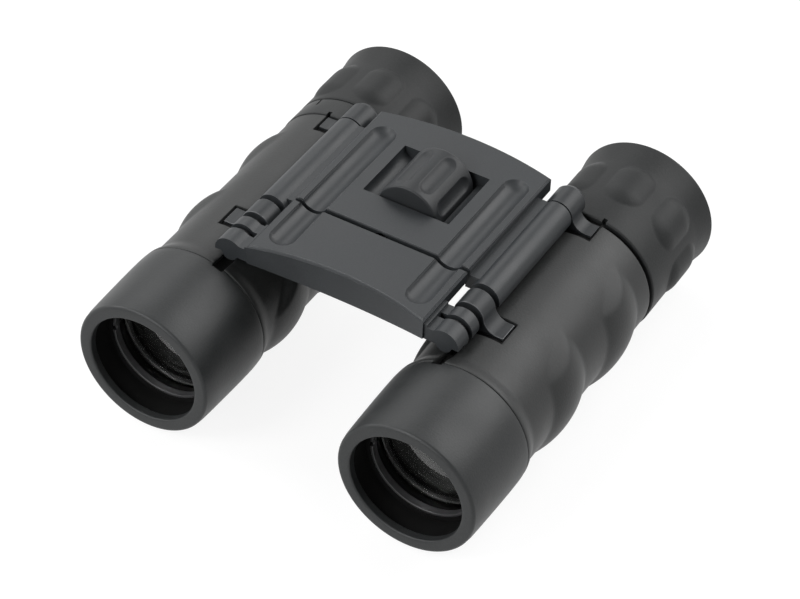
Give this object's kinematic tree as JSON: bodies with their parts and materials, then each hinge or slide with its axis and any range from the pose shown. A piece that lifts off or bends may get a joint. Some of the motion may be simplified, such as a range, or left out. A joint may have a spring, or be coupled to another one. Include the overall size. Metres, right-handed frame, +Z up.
{
  "type": "compact folding binoculars",
  "caption": "Pocket binoculars with two rubber-armoured roof-prism barrels that fold on a double-hinged bridge, a centre focus wheel and a dioptre eyepiece.",
  "frame": {"origin": "centre of the bounding box, on the floor that the barrels lie on", "axes": "+Y from the front lenses to the eyepieces, +Z up through the bridge plate, +X towards the left barrel of the person who looks through them"},
  "size_m": [0.1022, 0.1086, 0.0453],
  "materials": {
    "armour_rubber": "fine-grained matt charcoal rubber",
    "cover_rubber": "fine-grained matt charcoal rubber",
    "eyecup_rubber": "smooth matt charcoal rubber",
    "dioptre_ring": "matt charcoal",
    "bridge_plastic": "satin charcoal moulding",
    "claw_plastic": "satin charcoal moulding",
    "belly_plastic": "matt charcoal",
    "wheel_plastic": "matt charcoal, fluted",
    "tube_black": "matt black, glass-filled moulding",
    "cell_black": "dull black inside",
    "ring_black": "black anodised, bright edges",
    "stop_black": "dull black",
    "lens_glass": "coated optical glass",
    "prism_glass": "polished optical glass",
    "shaft_steel": "ground steel",
    "arm_steel": "stamped steel",
    "spring_steel": "spring steel",
    "screw_steel": "black oxide",
    "bush_brass": "turned brass"
  },
  "bodies": {
    "bridge": {"rear_bridge": "bridge_plastic", "belly_cover": "belly_plastic", "belly_screws": "screw_steel", "wheel_bushes": "bush_brass"},
    "front_bridge": {"front_bridge": "bridge_plastic", "focus_nut": "bush_brass", "nut_screws": "screw_steel", "left_hinge_shaft": "shaft_steel", "right_hinge_shaft": "shaft_steel"},
    "focus_wheel": {"focus_wheel": "wheel_plastic", "focus_screw": "shaft_steel"},
    "left_barrel": {"left_housing": "tube_black", "left_armour": "armour_rubber", "left_front_cover": "cover_rubber", "left_front_claw": "claw_plastic", "left_rear_claw": "claw_plastic", "left_prism_cage": "cell_black", "left_half_penta_prism": "prism_glass", "left_roof_prism": "prism_glass", "left_prism_clip": "spring_steel", "left_ocular_cell": "cell_black", "left_field_stop": "stop_black", "left_field_lens": "lens_glass", "left_eye_lens": "lens_glass", "left_eyecup": "eyecup_rubber"},
    "left_objective": {"left_objective_cell": "cell_black", "left_retaining_ring": "ring_black", "left_crown_lens": "lens_glass", "left_flint_lens": "lens_glass", "left_focus_arm": "arm_steel"},
    "right_barrel": {"right_housing": "tube_black", "right_armour": "armour_rubber", "right_front_cover": "cover_rubber", "right_front_claw": "claw_plastic", "right_rear_claw": "claw_plastic", "right_prism_cage": "cell_black", "right_half_penta_prism": "prism_glass", "right_roof_prism": "prism_glass", "right_prism_clip": "spring_steel", "right_dioptre_scale": "dioptre_ring"},
    "right_objective": {"right_objective_cell": "cell_black", "right_retaining_ring": "ring_black", "right_crown_lens": "lens_glass", "right_flint_lens": "lens_glass", "right_focus_arm": "arm_steel"},
    "right_ocular": {"right_ocular_cell": "cell_black", "right_field_stop": "stop_black", "right_field_lens": "lens_glass", "right_eye_lens": "lens_glass", "right_drive_peg": "bush_brass"},
    "right_eyecup": {"right_eyecup": "eyecup_rubber"}
  },
  "joints": [
    {"name": "left_fold", "type": "hinge", "parent": "bridge", "child": "left_barrel", "pos_m": [0.02703, 0, 0.03612], "axis": [0, 1, 0], "range_deg": [-10, 37]},
    {"name": "right_fold", "type": "hinge", "parent": "bridge", "child": "right_barrel", "pos_m": [-0.02703, 0, 0.03612], "axis": [0, -1, 0], "range_deg": [-10, 37]},
    {"name": "focus_turn", "type": "hinge", "parent": "bridge", "child": "focus_wheel", "pos_m": [0, 0, 0.03762], "axis": [0, 1, 0], "range_deg": [-83.04, 276.8]},
    {"name": "front_slide", "type": "slide", "parent": "bridge", "child": "front_bridge", "axis": [0, -1, 0], "range_m": [-0.0006, 0.002]},
    {"name": "left_focus", "type": "slide", "parent": "left_barrel", "child": "left_objective", "axis": [0, -1, 0], "range_m": [-0.0006, 0.002]},
    {"name": "right_focus", "type": "slide", "parent": "right_barrel", "child": "right_objective", "axis": [0, -1, 0], "range_m": [-0.0006, 0.002]},
    {"name": "dioptre_turn", "type": "hinge", "parent": "right_barrel", "child": "right_eyecup", "pos_m": [-0.0333, 0, 0.0178], "axis": [0, 1, 0], "range_deg": [-40, 40]},
    {"name": "dioptre_slide", "type": "slide", "parent": "right_barrel", "child": "right_ocular", "axis": [0, 1, 0], "range_m": [-0.0008, 0.0008]}
  ],
  "couplings": [
    {"joint": "focus_turn", "follows": "front_slide", "rad_per_m": 2415.5},
    {"joint": "left_focus", "follows": "front_slide", "ratio": 1},
    {"joint": "right_focus", "follows": "front_slide", "ratio": 1},
    {"joint": "dioptre_slide", "follows": "dioptre_turn", "m_per_rad": 0.001145}
  ]
}
